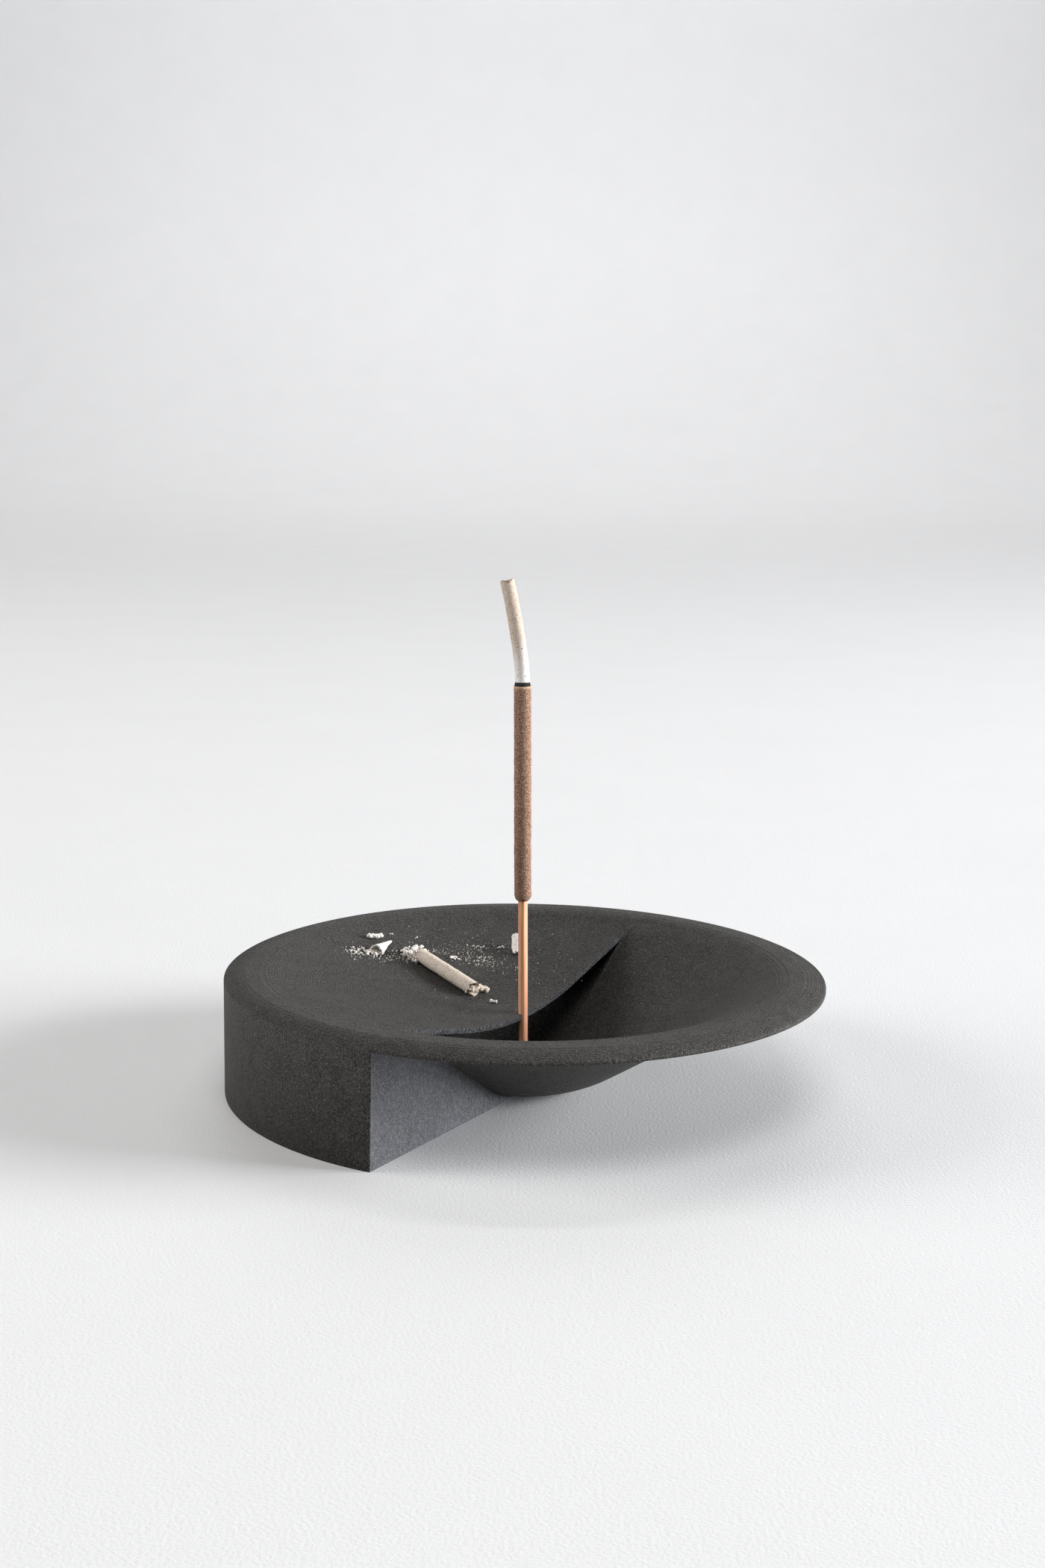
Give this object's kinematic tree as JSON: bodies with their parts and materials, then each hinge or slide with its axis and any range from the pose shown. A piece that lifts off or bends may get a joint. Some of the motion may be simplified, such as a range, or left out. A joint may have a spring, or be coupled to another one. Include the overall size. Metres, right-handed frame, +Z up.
{
  "type": "incense burner",
  "caption": "Low round incense burner: a shallow dish over a half block runs into a thin overhanging funnel, with a leaning burning stick in a hole at the dish's edge and its fallen ash.",
  "frame": {"origin": "on the round body's vertical axis, at the level of the surface it stands on", "axes": "+Z up along the body's axis; the open funnel is at +X, -Y and the half block with the dish at -X, +Y"},
  "size_m": [0.11, 0.11, 0.0934],
  "materials": {
    "body": "matte",
    "bamboo": "matte",
    "paste": "matte",
    "char": "matte",
    "ash": "matte"
  },
  "bodies": {
    "burner": {"burner_body": "body"},
    "stick": {"bamboo_core": "bamboo", "incense_paste": "paste", "char_ring": "char", "standing_ash": "ash"},
    "fallen_log": {"fallen_ash_log": "ash", "ash_log_finger": "ash", "ash_log_lump": "ash"},
    "curl": {"ash_curl": "ash"},
    "shard": {"ash_shard": "ash"},
    "chunk": {"ash_chunk": "ash"},
    "flake": {"ash_flake": "ash"},
    "crumbs": {"ash_crumb_01": "ash", "ash_crumb_02": "ash", "ash_crumb_03": "ash", "ash_crumb_04": "ash", "ash_crumb_05": "ash", "ash_crumb_06": "ash", "ash_crumb_07": "ash", "ash_crumb_08": "ash", "ash_crumb_09": "ash", "ash_crumb_10": "ash"}
  },
  "joints": [
    {"name": "stick_lift", "type": "slide", "parent": "burner", "child": "stick", "axis": [-0.015, 0, 0.9999], "range_m": [0, 0.03]},
    {"name": "ash_log_lift", "type": "slide", "parent": "burner", "child": "fallen_log", "axis": [0, 0, 1], "range_m": [0, 0.02]},
    {"name": "curl_lift", "type": "slide", "parent": "burner", "child": "curl", "axis": [0, 0, 1], "range_m": [0, 0.02]},
    {"name": "shard_lift", "type": "slide", "parent": "burner", "child": "shard", "axis": [0, 0, 1], "range_m": [0, 0.02]},
    {"name": "chunk_lift", "type": "slide", "parent": "burner", "child": "chunk", "axis": [0, 0, 1], "range_m": [0, 0.02]},
    {"name": "flake_lift", "type": "slide", "parent": "burner", "child": "flake", "axis": [0, 0, 1], "range_m": [0, 0.02]},
    {"name": "crumbs_lift", "type": "slide", "parent": "burner", "child": "crumbs", "axis": [0, 0, 1], "range_m": [0, 0.02]}
  ]
}
